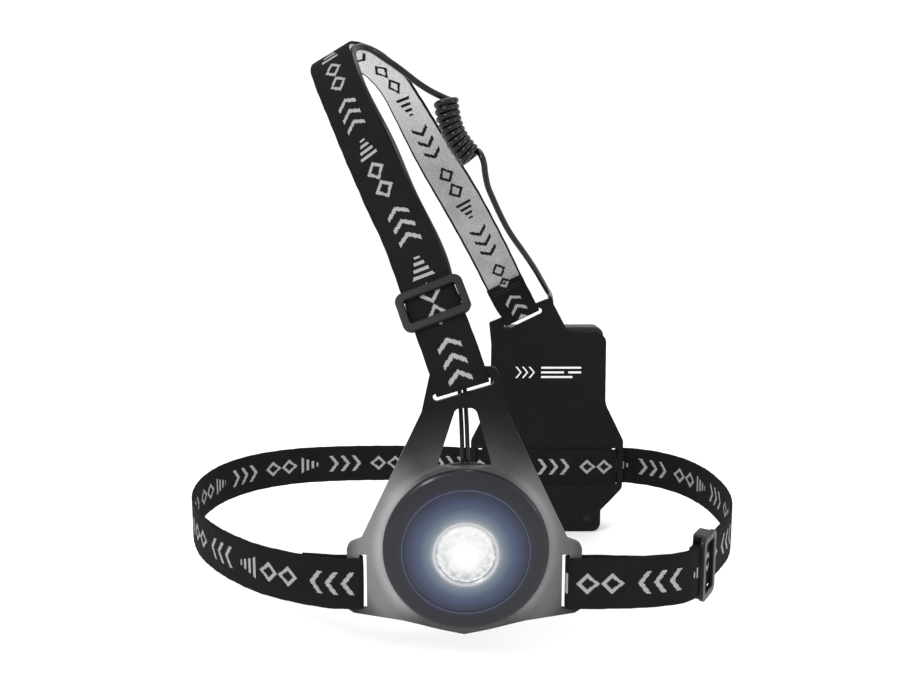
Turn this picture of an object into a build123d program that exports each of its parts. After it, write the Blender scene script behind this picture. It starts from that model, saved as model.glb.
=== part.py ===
from build123d import *
import os
from math import ceil, cos, pi, radians, sin, tan

# Chest-worn headlamp: a round LED lamp on a front frame, a battery pack behind, joined by an elastic
# chest band, one shoulder strap and a curly lead. Millimetres, +Z up, -Y is the lamp's side.
# The origin is the middle of the space that the chest band encloses, at the band's mid height.

# ---- driving dimensions ----
WEB = 25.0  # width of the webbing
WEB_THICK = 1.3
PLATE_FRONT = -110.0  # y of the front frame's outer face
PLATE_THICK = 2.8
FRAME_X = 3.0  # x of the front frame's middle
EAR_SLOT_X = 48.9  # side slots, each way from the middle
EAR_SLOT = (3.5, 27.5)
TOP_SLOT = (29.6, 3.6)
TOP_SLOT_AT = (2.3, 95.2)
TOP_SLOT_TILT = 17.0
LAMP_X, LAMP_Z = 3.6, 18.0
BORE_R = 37.2  # the hole in the frame that the lamp fills
BEZEL_R = 39.6
WINDOW_R = 29.8
LENS_R = 14.0
PACK_X = 64.0  # x of the battery pack's middle
PACK_FRONT = 98.0  # y of the pack's face on the wearer's side
PACK_PLATE = 2.6
PACK_HALF = 40.0
PACK_TOP, PACK_FLOOR = 93.0, -50.6
HOUSING_TOP = 97.0
HOUSING_CEILING = 91.0
HOUSING_BACK = 120.0
WALL = 2.0
WING_SLOT_X = 48.2
TAB_SLOT_AT = (45.8, 103.2)
TAB_SLOT_TILT = 26.0
CELL_R, CELL_LONG = 7.2, 50.0
CORD_R = 1.9
LEAD_R = 1.1
COIL_R = 7.5
GAP = 0.1  # running gap between pieces that don't touch

PLATE_BACK = PLATE_FRONT + PLATE_THICK
PLATE_MID = PLATE_FRONT + PLATE_THICK / 2
OUT_Y = PLATE_FRONT - 0.35 - WEB_THICK / 2  # webbing lying over a bar's front
IN_Y = PLATE_BACK + 0.35 + WEB_THICK / 2  # webbing lying behind a bar
PACK_BACK = PACK_FRONT + PACK_PLATE
PACK_MID = PACK_FRONT + PACK_PLATE / 2

os.makedirs("parts", exist_ok=True)


def save(shape, node):
    export_step(shape, f"parts/{node}.step")


# ---- helpers ----
def upright(profile, depth, front):
    """A profile drawn in x and z, given a depth towards +Y from y = front."""
    return Pos(0, front, 0) * extrude(Plane.XZ * profile, amount=-depth)


def turned(points):
    """A ring or disc about the lamp's axis, from an outline in radius and y."""
    face = make_face(Polyline(*points, close=True))
    return Pos(LAMP_X, 0, LAMP_Z) * revolve(face, axis=Axis.Y)


def rod(x, z, radius, front, back):
    return Pos(x, front, z) * extrude(Plane.XZ * Circle(radius), amount=-(back - front))


def lamp_rod(angle, at, radius, front, back):
    x = LAMP_X + at * cos(radians(angle))
    z = LAMP_Z + at * sin(radians(angle))
    return rod(x, z, radius, front, back)


def block(low, high):
    size = [b - a for a, b in zip(low, high)]
    middle = [(a + b) / 2 for a, b in zip(low, high)]
    return Pos(*middle) * Box(*size)


def arc_radii(points, share=0.45):
    """The radius at each inner point, from the shorter run beside it and the turn there."""
    radii = []
    for before, corner, after in zip(points, points[1:], points[2:]):
        come = Vector(*corner) - Vector(*before)
        go = Vector(*after) - Vector(*corner)
        half_turn = radians(come.get_angle(go)) / 2
        radii.append(share * min(come.length, go.length) / tan(half_turn))
    return radii


def between(knots, share):
    """The value at a share of the way, from (share, value) pairs."""
    for (start, low), (end, high) in zip(knots, knots[1:]):
        if share <= end:
            return low + (high - low) * (share - start) / (end - start)
    return knots[-1][1]


def strip(points, tilts, yaws=((0, 0), (1, 0)), width=WEB, thick=WEB_THICK):
    """Flat webbing along a route. tilts has the angle of its width above the x axis at the start
    and the end, in degrees, or is None where the webbing stands on edge with its width upright.
    yaws has pairs of a share of the length and the width's turn about z there, in degrees."""
    path = FilletPolyline(*points, radius=arc_radii(points))
    edges = path.edges()
    total = sum(edge.length for edge in edges)
    sections = []
    done = 0.0
    for edge in edges:
        steps = 1 if edge.geom_type == GeomType.LINE else max(2, ceil(edge.length / 5))
        first = 0 if not sections else 1
        for k in range(first, steps + 1):
            along = edge % (k / steps)
            share = (done + edge.length * k / steps) / total
            if tilts is None:
                across = Vector(0, 0, 1)
            else:
                tilt = radians(tilts[0] + (tilts[1] - tilts[0]) * share)
                yaw = radians(between(yaws, share))
                across = Vector(cos(tilt) * cos(yaw), sin(yaw), sin(tilt))
            across = (across - along * across.dot(along)).normalized()
            out = along.cross(across)
            corners = []
            for a, b in ((-1, -1), (1, -1), (1, 1), (-1, 1)):
                corners.append((edge @ (k / steps)) + across * (a * width / 2) + out * (b * thick / 2))
            sections.append(make_face(Polyline(*corners, close=True)))
        done += edge.length
    return loft(sections, ruled=True)


def cord_tube(name, points, radius):
    radii = arc_radii(points)
    path = FilletPolyline(*points, radius=radii)
    start = Plane(origin=path @ 0, z_dir=path % 0)
    tube = sweep(start * Circle(radius), path=path)
    ideal = pi * radius**2 * path.length
    print(f"{name}: length {path.length:.1f}, radii {[round(r, 1) for r in radii]}, ", end="")
    print(f"volume {tube.volume:.1f} of {ideal:.1f}")
    return tube


# ---- front frame ----
def front_frame():
    """Flat moulded frame: narrow at the shoulder strap's slot, wide at the band's slots, with a
    low collar round the lamp and a window above it for the lead."""
    right = [
        (14.5, 106.0),
        (16.6, 101.5),
        (20.4, 84.0),
        (49.6, 22.4),
        (56.6, 19.8),
        (56.0, -13.6),
        (53.6, -15.2),
        (30.0, -19.2),
        (12.0, -23.6),
        (0.0, -26.2),
    ]
    left = [(-x, z) for x, z in reversed(right[:-1])]
    outline = make_face(Polyline(*right, *left, close=True))
    outline = fillet(outline.vertices().sort_by(Axis.Y)[-2:], 3.5)
    for x, z, radius in ((56.6, 19.8, 4.5), (49.6, 22.4, 1.5)):
        for side in (-1, 1):
            outline = fillet(outline.vertices().sort_by_distance((side * x, z, 0))[0], radius)
    outline = Pos(FRAME_X, 0) * outline
    side_slots = [Pos(FRAME_X + s * EAR_SLOT_X, 0.6) * Rectangle(*EAR_SLOT) for s in (-1, 1)]
    top_slot = Pos(*TOP_SLOT_AT) * Rot(0, 0, TOP_SLOT_TILT) * SlotOverall(*TOP_SLOT)
    window = make_face(Polyline((-10.1, 58.2), (16.1, 58.2), (8.2, 86.4), (-1.2, 86.4), close=True))
    window = fillet(window.vertices().group_by(Axis.Y)[-1], 3.5)
    plate = upright(outline - side_slots - top_slot, PLATE_THICK, PLATE_FRONT)
    collar = turned([(BORE_R, -109.5), (44.5, -109.5), (44.5, -110.1), (42.6, -110.5), (41.2, -111.3),
                     (40.4, -112.8), (BORE_R, -112.8)])
    keep = upright(outline, 6.0, PLATE_FRONT - 5.0)
    frame = plate + (collar & keep) - upright(window, 9.0, PLATE_FRONT - 5.0)
    return frame - rod(LAMP_X, LAMP_Z, BORE_R, PLATE_FRONT - 5.0, PLATE_BACK + 1.0)


# ---- lamp ----
SCREW_ANGLES = (45, 135, 225, 315)
SCREW_AT = 30.8
HOUSING_REAR = -94.0
HOUSING_FLOOR = HOUSING_REAR - WALL


def lamp_bezel():
    """Domed rim with a skirt in the frame's bore and four posts that the screws pull on."""
    ring = turned([(28.2, -113.3), (34.8, -113.0), (34.8, -107.7), (36.8, -107.7), (36.8, -112.9),
                   (BEZEL_R, -112.9), (BEZEL_R, -113.6), (BEZEL_R - 0.5, -114.5),
                   (BEZEL_R - 1.5, -115.1), (35.2, -115.9), (31.0, -116.6), (31.0, -114.3),
                   (28.2, -114.3)])
    for angle in SCREW_ANGLES:
        ring += lamp_rod(angle, SCREW_AT, 2.8, -113.6, HOUSING_FLOOR - GAP)
    for angle in SCREW_ANGLES:
        ring -= lamp_rod(angle, SCREW_AT, 1.15, -110.5, HOUSING_FLOOR + 1.0)
    return ring


def lens_window():
    return turned([(15.9, -118.4), (20.0, -118.1), (25.0, -117.4), (WINDOW_R, -116.4),
                   (WINDOW_R, -114.4), (27.5, -114.4), (25.0, -115.6), (20.0, -116.4), (15.9, -116.8)])


def window_gasket():
    return turned([(29.9, -114.4), (30.9, -114.4), (30.9, -116.7), (29.9, -116.7)])


def reflector_dish():
    return turned([(15.9, -108.6), (20.0, -109.0), (24.0, -110.2), (27.8, -112.3), (27.8, -113.2),
                   (24.0, -111.0), (20.0, -109.8), (15.9, -109.4)])


def lens_ring():
    return turned([(LENS_R + GAP, -107.5), (15.8, -107.5), (15.8, -119.3), (15.4, -119.7),
                   (14.6, -119.7), (LENS_R + GAP, -119.3)])


def tir_lens():
    return turned([(0, -104.2), (3.6, -104.2), (6.0, -105.0), (12.0, -112.5), (LENS_R, -114.0),
                   (LENS_R, -119.0), (12.5, -120.0), (9.0, -120.8), (5.0, -121.2), (0, -121.3)])


def led_emitter():
    base = block((LAMP_X - 3.5, -103.4, LAMP_Z - 3.5), (LAMP_X + 3.5, -102.6, LAMP_Z + 3.5))
    return base + rod(LAMP_X, LAMP_Z, 2.4, -103.9, -103.0)


def led_board():
    return rod(LAMP_X, LAMP_Z, 12.0, -102.6, -101.0)


def heat_sink():
    """Disc on the housing's floor with a raised middle for the board and twelve fins round it."""
    sink = rod(LAMP_X, LAMP_Z, 27.6, -99.0, HOUSING_FLOOR)
    sink += rod(LAMP_X, LAMP_Z, 12.5, -101.0, -98.5)
    for k in range(12):
        fin = Pos(20.8, -102.0, 0) * Box(12.4, 7.0, 1.2)
        sink += Pos(LAMP_X, 0, LAMP_Z) * Rot(0, 30.0 * k, 0) * fin
    return sink


GLAND_Y = -102.6
GLANDS_X = (2.1, 4.7)
GLAND_R = 1.2


def lamp_housing():
    """Rear cup of the lamp with a flange behind the frame, four screw pockets and two lead holes."""
    cup = turned([(0, HOUSING_REAR), (35.0, HOUSING_REAR), (36.0, HOUSING_REAR - 1.0), (36.0, -105.2),
                  (41.0, -105.2), (41.0, PLATE_BACK), (39.7, PLATE_BACK), (39.7, -106.1),
                  (38.3, -106.1), (38.3, PLATE_BACK), (34.0, PLATE_BACK), (34.0, HOUSING_FLOOR),
                  (0, HOUSING_FLOOR)])
    for angle in SCREW_ANGLES:
        cup -= lamp_rod(angle, SCREW_AT, 2.3, -95.2, HOUSING_REAR + 1.0)
        cup -= lamp_rod(angle, SCREW_AT, 1.25, -97.0, HOUSING_REAR + 1.0)
    for x in GLANDS_X:
        cup -= Pos(x, GLAND_Y, 55.0) * Cylinder(GLAND_R, 12.0)
    return cup


def housing_seal():
    return turned([(38.4, PLATE_BACK), (39.6, PLATE_BACK), (39.6, -106.2), (38.4, -106.2)])


def lamp_screws():
    screws = []
    for angle in SCREW_ANGLES:
        head = lamp_rod(angle, SCREW_AT, 2.1, -95.2, -94.2)
        slot = lamp_rod(angle, SCREW_AT, 0.8, -94.7, -94.0)
        shank = lamp_rod(angle, SCREW_AT, 1.1, -109.5, -95.0)
        screws.append(head + shank - slot)
    return Compound(children=screws)


def lead_glands():
    """Two stepped rubber grommets on top of the lamp, one for each lead."""
    glands = []
    for x in GLANDS_X:
        stem = Pos(x, GLAND_Y, 54.2) * Cylinder(GLAND_R, 5.2)
        cap = Pos(x, GLAND_Y, 57.5) * Cylinder(GLAND_R + 0.05, 2.0)
        hole = Pos(x, GLAND_Y, 54.0) * Cylinder(0.7, 3.6)
        glands.append(stem + cap - hole)
    return Compound(children=glands)


# ---- leads and cord ----
GLAND_TOP = 58.5
SPLITTER_FOOT = Vector(1.9, -94.0, 93.0)
SPLITTER_AXIS = Vector(-0.06, 0.36, 0.93).normalized()
SPLITTER_LONG = 11.0
SPLITTER_HEAD = SPLITTER_FOOT + SPLITTER_AXIS * SPLITTER_LONG
COIL_ROUTE = [(-6.7, 24.0, 241.0), (-4.8, 24.0, 228.4), (0.6, 24.6, 218.8), (8.6, 25.0, 208.4)]
PACK_GLAND = (66.5, 109.5)
GLAND_STEP, GLAND_END = 98.6, 101.5  # heights of the pack gland's shoulder and tip

LEAD_ROUTE = [(0, GLAND_Y, GLAND_TOP), (-0.3, -101.6, 70.0), (-0.8, -98.3, 82.0), (-1.5, -94.0, 93.0)]
FRONT_ROUTE = [
    tuple(SPLITTER_HEAD),
    (-0.4, -85.0, 118.0),
    (-2.4, -79.8, 134.0),
    (-5.0, -74.0, 149.5),
    (-10.2, -68.8, 162.5),
    (-16.6, -62.8, 174.6),
    (-22.2, -57.6, 185.0),
    (-26.6, -52.0, 194.6),
    (-30.8, -44.6, 204.4),
    (-35.4, -36.6, 214.4),
    (-40.8, -29.0, 224.4),
    (-46.5, -24.5, 234.5),
    (-51.5, -20.5, 244.5),
    (-55.0, -14.0, 254.0),
    (-58.0, -6.0, 262.0),
    (-58.5, 1.5, 267.0),
    (-55.5, 9.0, 270.0),
    (-49.5, 15.5, 269.5),
    (-42.5, 19.5, 265.0),
    (-36.7, 22.0, 261.6),
    (-30.2, 23.0, 257.0),
    (-23.8, 23.4, 252.9),
    (-16.2, 24.0, 249.3),
    (-9.9, 24.1, 246.9),
    COIL_ROUTE[0],
]
REAR_ROUTE = [
    COIL_ROUTE[-1],
    (13.0, 25.4, 203.4),
    (16.6, 27.4, 197.4),
    (20.2, 31.4, 189.2),
    (25.8, 38.6, 176.2),
    (32.8, 47.0, 163.8),
    (42.2, 56.8, 151.8),
    (50.8, 67.8, 140.2),
    (57.4, 79.8, 129.8),
    (61.8, 91.2, 123.2),
    (64.4, 101.0, 120.0),
    (66.2, 107.4, 114.0),
    (66.5, 109.4, 107.0),
    (*PACK_GLAND, GLAND_END),
]


def cord_splitter():
    foot = Plane(origin=SPLITTER_FOOT, x_dir=(1, 0, 0), z_dir=SPLITTER_AXIS)
    return extrude(foot * RectangleRounded(6.4, 4.4, 1.6), amount=SPLITTER_LONG)


def cord_coil():
    return cord_tube("cord_coil", COIL_ROUTE, COIL_R)


def pack_gland():
    """Strain relief that stands on top of the pack's housing."""
    x, y = PACK_GLAND
    foot = HOUSING_TOP - 3.0
    gland = Pos(x, y, (foot + GLAND_STEP) / 2) * Cylinder(3.4, GLAND_STEP - foot)
    gland += Pos(x, y, (GLAND_STEP + GLAND_END) / 2) * Cone(3.1, 2.4, GLAND_END - GLAND_STEP)
    return gland


# ---- shoulder strap ----
def tab_point(up, y):
    """A point on the pack tab's slot line, up millimetres towards the tab's top edge."""
    tilt = radians(TAB_SLOT_TILT)
    return (TAB_SLOT_AT[0] - up * sin(tilt), y, TAB_SLOT_AT[1] + up * cos(tilt))


def top_point(up, y):
    """A point on the front frame's top slot line, up millimetres towards the frame's top edge."""
    tilt = radians(TOP_SLOT_TILT)
    return (TOP_SLOT_AT[0] - up * sin(tilt), y, TOP_SLOT_AT[1] + up * cos(tilt))


STRAP_FOOT = Vector(*top_point(14.5, OUT_Y - 0.5))
STRAP_KNEE = Vector(-25.7, -74.8, 168.4)
STRAP_UP = (STRAP_KNEE - STRAP_FOOT).normalized()
STRAP_LEAN = 18.0  # the slider and the layer behind it lean this far
STRAP_SIDE = Vector(cos(radians(STRAP_LEAN)), 0, sin(radians(STRAP_LEAN)))
STRAP_SIDE = (STRAP_SIDE - STRAP_UP * STRAP_UP.dot(STRAP_SIDE)).normalized()
STRAP_PLANE = Plane(origin=STRAP_FOOT, x_dir=STRAP_SIDE, z_dir=STRAP_SIDE.cross(STRAP_UP))
STRAP_SLIDER_AT = 30.5  # along the straight stretch, from its foot

STRAP_ROUTE = [
    top_point(0.7, PLATE_MID),
    top_point(0.7, OUT_Y - 0.5),
    tuple(STRAP_FOOT),
    tuple(STRAP_KNEE),
    (-37.4, -60.8, 188.6),
    (-47.4, -47.6, 208.6),
    (-57.2, -32.0, 229.4),
    (-66.6, -15.4, 249.4),
    (-72.0, -1.0, 262.6),
    (-70.4, 11.4, 267.4),
    (-61.6, 24.0, 267.8),
    (-49.6, 34.2, 264.4),
    (-38.6, 41.8, 254.0),
    (-28.4, 48.4, 236.6),
    (-15.0, 56.6, 212.4),
    (2.6, 66.4, 184.4),
    (21.8, 80.8, 149.6),
    (32.4, 91.8, 128.4),
    tab_point(9.6, PACK_BACK + 1.1),
    tab_point(0.8, PACK_BACK + 1.1),
    tab_point(0.8, PACK_MID),
]
# The strap twists as it goes over the shoulder: (share of its length, degrees).
STRAP_YAWS = [(0, 0), (0.2, 0), (0.27, -20), (0.38, -22), (0.46, -16), (0.56, -58), (0.62, -46), (0.8, 0),
              (1, 0)]


def strap_point(along, behind=0.0):
    """A point on the straight stretch of the shoulder strap, or behind it."""
    return tuple(STRAP_PLANE.from_local_coords(Vector(0, along, -behind)))


def shoulder_strap():
    return strip(STRAP_ROUTE, (TOP_SLOT_TILT, TAB_SLOT_TILT), STRAP_YAWS)


def strap_return():
    """The layer that comes back from the front slot to the slider's middle bar."""
    route = [
        top_point(0.7, PLATE_MID),
        top_point(0.7, IN_Y),
        top_point(12.4, IN_Y),
        strap_point(9.0, 1.6),
        strap_point(STRAP_SLIDER_AT - LOOP_LONG - GAP, 1.6),
    ]
    return strip(route, (TOP_SLOT_TILT, STRAP_LEAN))


def strap_end_fold():
    """The strap's end, turned up over the tab's bar and sewn to the strap's inner face."""
    route = [
        tab_point(0.8, PACK_MID),
        tab_point(0.8, PACK_FRONT - 1.1),
        tab_point(9.0, PACK_FRONT - 1.1),
        (37.4, 95.4, 117.4),
        (31.8, 89.6, 128.6),
    ]
    return strip(route, (TAB_SLOT_TILT, 24.0))


# ---- chest band ----
BAND_FOOT = Vector(115.5, -102.0, 0)
BAND_KNEE = Vector(150.5, -46.0, 0)
BAND_DOWN = Vector(0, 0, -1)
BAND_PLANE = Plane(origin=BAND_FOOT, x_dir=BAND_DOWN, z_dir=BAND_DOWN.cross(BAND_KNEE - BAND_FOOT))
BAND_SLIDER_AT = 18.0
BAND_BACK_Z = -2.6  # the band sits a little lower at the wearer's back
LEFT_SLOT = FRAME_X - EAR_SLOT_X - 0.6
RIGHT_SLOT = FRAME_X + EAR_SLOT_X + 0.6
WING_LEFT = PACK_X - WING_SLOT_X - 0.9
WING_RIGHT = PACK_X + WING_SLOT_X + 0.9


def band_point(along, behind=0.0):
    return tuple(BAND_PLANE.from_local_coords(Vector(0, along, -behind)))


def chest_band_left():
    route = [
        (LEFT_SLOT, PLATE_MID, 0),
        (LEFT_SLOT, OUT_Y, 0),
        (-61.0, OUT_Y + 0.1, 0),
        (-80.0, -104.0, 0),
        (-101.0, -92.6, 0),
        (-124.0, -71.4, 0),
        (-143.4, -45.0, 0),
        (-156.8, -12.0, 0),
        (-160.2, 22.0, 0),
        (-155.0, 53.0, -0.4),
        (-139.6, 80.0, -1.2),
        (-114.0, 97.6, -1.8),
        (-82.0, 105.0, -2.2),
        (-44.0, 107.4, -2.5),
        (-10.0, 105.4, BAND_BACK_Z),
        (6.0, PACK_BACK + 1.2, BAND_BACK_Z),
        (WING_LEFT, PACK_BACK + 1.0, BAND_BACK_Z),
        (WING_LEFT, PACK_MID, BAND_BACK_Z),
    ]
    return strip(route, None)


def chest_band_pack():
    """The stretch that lies over the pack's face, between the wing slots."""
    y = PACK_FRONT - 0.3 - WEB_THICK / 2
    route = [(WING_LEFT, PACK_MID), (WING_LEFT, y), (WING_RIGHT, y), (WING_RIGHT, PACK_MID)]
    return strip([(*point, BAND_BACK_Z) for point in route], None)


def chest_band_right():
    route = [
        (WING_RIGHT, PACK_MID, BAND_BACK_Z),
        (WING_RIGHT, PACK_BACK + 1.0, BAND_BACK_Z),
        (121.5, PACK_BACK + 1.2, BAND_BACK_Z),
        (139.0, 91.4, -2.0),
        (154.0, 70.0, -1.2),
        (161.8, 40.0, -0.4),
        (162.6, 6.0, 0),
        (159.0, -20.0, 0),
        tuple(BAND_KNEE),
        tuple(BAND_FOOT),
        (105.4, -106.6, 0),
        (90.0, -109.8, 0),
        (67.0, OUT_Y, 0),
        (RIGHT_SLOT, OUT_Y + 0.05, 0),
        (RIGHT_SLOT, PLATE_MID, 0),
    ]
    return strip(route, None)


def band_return_left():
    """The band's sewn end behind the left ear."""
    route = [(LEFT_SLOT, PLATE_MID, 0), (LEFT_SLOT, IN_Y, 0), (-60.0, IN_Y + 0.1, 0), (-76.0, -103.2, 0)]
    return strip(route, None)


def band_return_right():
    """The layer that comes back from the right ear to the slider's middle bar."""
    route = [
        (RIGHT_SLOT, PLATE_MID, 0),
        (RIGHT_SLOT, IN_Y, 0),
        (68.0, IN_Y, 0),
        (89.6, -107.9, 0),
        (104.6, -104.9, 0),
        band_point(0.4, 1.6),
        band_point(BAND_SLIDER_AT - LOOP_LONG - GAP, 1.6),
    ]
    return strip(route, None)


# ---- sliders ----
SLIDER = (34.0, 21.0)  # across and along the webbing
SLIDER_BAR = 4.3
CHEEK_LONG = 12.0
LOOP_LONG = 9.0


def slider():
    """Three-bar slide: two end bars over the webbing, a middle bar under it."""
    window = RectangleRounded(26.0, SLIDER[1] - 2 * SLIDER_BAR, 1.2)
    frame = extrude(RectangleRounded(*SLIDER, 4.6) - window, amount=2.2)
    frame = fillet(frame.edges().group_by(Axis.Z)[-1], 0.7)
    frame = Pos(0, 0, 0.95) * frame
    for side in (-1, 1):
        cheek = extrude(RectangleRounded(4.0, CHEEK_LONG, 1.2), amount=5.6)
        frame += Pos(side * 15.0, 0, -4.3) * cheek
    frame += block((-14.0, -1.6, -4.3), (14.0, 1.6, -2.6))
    return frame


def slider_loop():
    """Webbing end sewn round a slider's middle bar."""
    outer = block((-WEB / 2, -LOOP_LONG, -5.85), (WEB / 2, 3.3, -0.95))
    outer = fillet(outer.edges().filter_by(Axis.X).sort_by(Axis.Y)[-2:], 1.4)
    inner = block((-WEB, -LOOP_LONG - 1.0, -4.55), (WEB, 2.0, -2.25))
    return outer - inner


# ---- battery pack ----
def pack_plate():
    """Plate on the wearer's side, with two wings for the band and a slanted tab for the strap."""
    outline = [
        (-PACK_HALF, PACK_FLOOR),
        (PACK_HALF - 1.0, PACK_FLOOR),
        (PACK_HALF - 1.0, -34.8),
        (45.4, -28.1),
        (54.0, -18.4),
        (54.0, 16.3),
        (PACK_HALF + 0.6, 43.1),
        (PACK_HALF, PACK_TOP),
        (14.0, PACK_TOP),
        (0.5, 118.0),
        (-41.6, 100.6),
        (-PACK_HALF, PACK_TOP - 8.0),
        (-PACK_HALF - 0.6, 43.1),
        (-54.0, 16.3),
        (-54.0, -18.4),
        (-45.4, -28.1),
        (-PACK_HALF, -34.8),
    ]
    face = make_face(Polyline(*outline, close=True))
    rounding = [6.0, 6.0, 2.5, 12.0, 6.0, 8.0, 16.0, 6.5, 6.0, 4.0, 1.5, 4.5, 16.0, 8.0, 6.0, 12.0, 2.5]
    for corner, radius in zip(outline, rounding):
        face = fillet(face.vertices().sort_by_distance((*corner, 0))[0], radius)
    face = Pos(PACK_X, 0) * face
    wings = [Pos(PACK_X + s * WING_SLOT_X, BAND_BACK_Z) * Rectangle(4.0, 26.6) for s in (-1, 1)]
    tab_slot = Pos(*TAB_SLOT_AT) * Rot(0, 0, TAB_SLOT_TILT) * SlotOverall(29.0, 4.0)
    plate = upright(face - wings - tab_slot, PACK_PLATE, PACK_FRONT)
    for side in (-1, 1):
        plate += block((PACK_X + side * 20 - 5, PACK_BACK - 1, 87.6), (PACK_X + side * 20 + 5, 104.0, 89.2))
        plate -= rod(PACK_X + side * SCREW_X, SCREW_Z, 1.6, PACK_FRONT - 1, PACK_BACK + 1)
        plate -= rod(PACK_X + side * SCREW_X, SCREW_Z, 2.7, PACK_FRONT - 1, PACK_FRONT + 1.3)
    return plate


SCREW_X, SCREW_Z = 29.2, -41.2
HOUSING_HALF = 38.5
DOOR = (54.0, 66.0)  # across and up
DOOR_MID_Z = -12.0
BUTTON_Z = 62.0
BUTTON_R = 6.5


def pack_housing():
    """Box behind the plate, open towards it, with a battery opening and a button hole at the back."""
    x0, x1 = PACK_X - HOUSING_HALF, PACK_X + HOUSING_HALF
    shell = block((x0, PACK_BACK, PACK_FLOOR + 0.6), (x1, HOUSING_BACK, HOUSING_TOP))
    shell = fillet(shell.edges().filter_by(Axis.Y), 6.0)
    shell = fillet(shell.faces().sort_by(Axis.Y)[-1].edges(), 3.0)
    shell = fillet(shell.faces().sort_by(Axis.Y)[0].edges().sort_by(Axis.Z)[-3:], 1.6)
    inside = block((x0 + WALL, PACK_BACK - 1, PACK_FLOOR + 0.6 + WALL),
                   (x1 - WALL, HOUSING_BACK - WALL, HOUSING_CEILING))
    inside = fillet(inside.edges().filter_by(Axis.Y), 4.0)
    shell -= inside
    half = DOOR[0] / 2
    shell -= block((PACK_X - half + 3, HOUSING_BACK - 4, DOOR_MID_Z - DOOR[1] / 2 + 4),
                   (PACK_X + half - 3, HOUSING_BACK + 1, DOOR_MID_Z + DOOR[1] / 2 - 4))
    for side in (-1, 1):
        rail = Rectangle(2.6, 3.6) - Pos(-0.9, -0.2) * Rectangle(1.8, 2.5)
        if side < 0:
            rail = mirror(rail, about=Plane.YZ)
        x = PACK_X + side * (half + 0.9)
        rail = extrude(rail, amount=DOOR[1] - 2.0)
        shell += Pos(x, HOUSING_BACK + 1.6, DOOR_MID_Z - DOOR[1] / 2 + 1.0) * rail
    shell -= rod(PACK_X, BUTTON_Z, BUTTON_R + 0.3, HOUSING_BACK - 4, HOUSING_BACK + 1)
    shell -= Pos(PACK_GLAND[0], PACK_GLAND[1], HOUSING_TOP) * Cylinder(3.4, 6.1)
    for side in (-1, 1):
        x = PACK_X + side * SCREW_X
        post = rod(x, SCREW_Z, 3.2, PACK_BACK + GAP, HOUSING_BACK - WALL + 0.2)
        shell = shell + post - rod(x, SCREW_Z, 1.25, PACK_BACK - 1, PACK_BACK + 12)
    return shell


def pack_seal():
    """Gasket just inside the housing's rim."""
    x0, z0 = HOUSING_HALF - WALL - GAP, PACK_FLOOR + 0.6 + WALL + GAP
    high, low = 90.8, z0
    outer = Pos(PACK_X, (high + low) / 2) * RectangleRounded(2 * x0, high - low, 4.0)
    inner = Pos(PACK_X, (high + low) / 2) * RectangleRounded(2 * x0 - 3.0, high - low - 3.0, 2.5)
    ring = upright(outer - inner, 1.0, PACK_BACK)
    for side in (-1, 1):
        ring -= rod(PACK_X + side * SCREW_X, SCREW_Z, 3.4, PACK_BACK - 1, PACK_BACK + 2)
    return ring


def battery_door():
    """Sliding cover with grip ridges near its lower end."""
    front = HOUSING_BACK + 0.25
    door = block((PACK_X - DOOR[0] / 2 - 0.6, front, DOOR_MID_Z - DOOR[1] / 2),
                 (PACK_X + DOOR[0] / 2 + 0.6, front + 2.0, DOOR_MID_Z + DOOR[1] / 2))
    for k in range(6):
        z = DOOR_MID_Z - DOOR[1] / 2 + 6.0 + 2.4 * k
        door += block((PACK_X - 11, front + 1.5, z), (PACK_X + 11, front + 2.7, z + 1.1))
    return door


def power_button():
    """Round cap with a dished face and a flange that keeps it inside the back wall."""
    inner = HOUSING_BACK - WALL - 0.05
    cap = rod(PACK_X, BUTTON_Z, BUTTON_R, inner - 0.1, HOUSING_BACK + 1.6)
    cap = fillet(cap.edges().sort_by(Axis.Y)[-1], 0.6)
    cap -= Pos(PACK_X, HOUSING_BACK + 19.6, BUTTON_Z) * Sphere(18.6)
    return cap + rod(PACK_X, BUTTON_Z, BUTTON_R + 1.6, inner - 1.4, inner)


CELL_Z = DOOR_MID_Z + 1.0
CELL_Y = 110.4
CELL_PITCH = 15.4


def cell_x(k):
    return PACK_X + CELL_PITCH * (k - 1)


def cell(k):
    can = Pos(cell_x(k), CELL_Y, CELL_Z) * Cylinder(CELL_R, CELL_LONG)
    can = fillet(can.edges(), 0.5)
    top = CELL_Z + CELL_LONG / 2
    return can + Pos(cell_x(k), CELL_Y, top + 0.6) * Cylinder(2.75, 1.3)


def cell_holder():
    """Tray with three troughs, open towards the door."""
    half = CELL_PITCH * 1.5 + 1.0
    tray = block((PACK_X - half, 102.4, CELL_Z - 31.5), (PACK_X + half, 113.0, CELL_Z + 30.5))
    for k in range(3):
        low = CELL_Z - 29.5
        trough = Pos(cell_x(k), CELL_Y, CELL_Z - 0.5) * Cylinder(CELL_R + 0.15, 58.0)
        trough += block((cell_x(k) - CELL_R - 0.15, CELL_Y, low),
                        (cell_x(k) + CELL_R + 0.15, 114.0, low + 58.0))
        tray -= trough
    return tray


def contact_springs():
    """Conical springs at the cells' lower ends, as closed rings that touch."""
    springs = []
    for k in range(3):
        foot = CELL_Z - CELL_LONG / 2 - 3.6
        turns = [Pos(cell_x(k), CELL_Y, foot + 0.75 * n) * Torus(4.6 - 0.5 * n, 0.42) for n in range(5)]
        base = Pos(cell_x(k), CELL_Y, foot - 0.55) * Cylinder(5.2, 0.5)
        spring = base
        for turn in turns:
            spring = spring + turn
        springs.append(spring)
    return Compound(children=springs)


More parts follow.
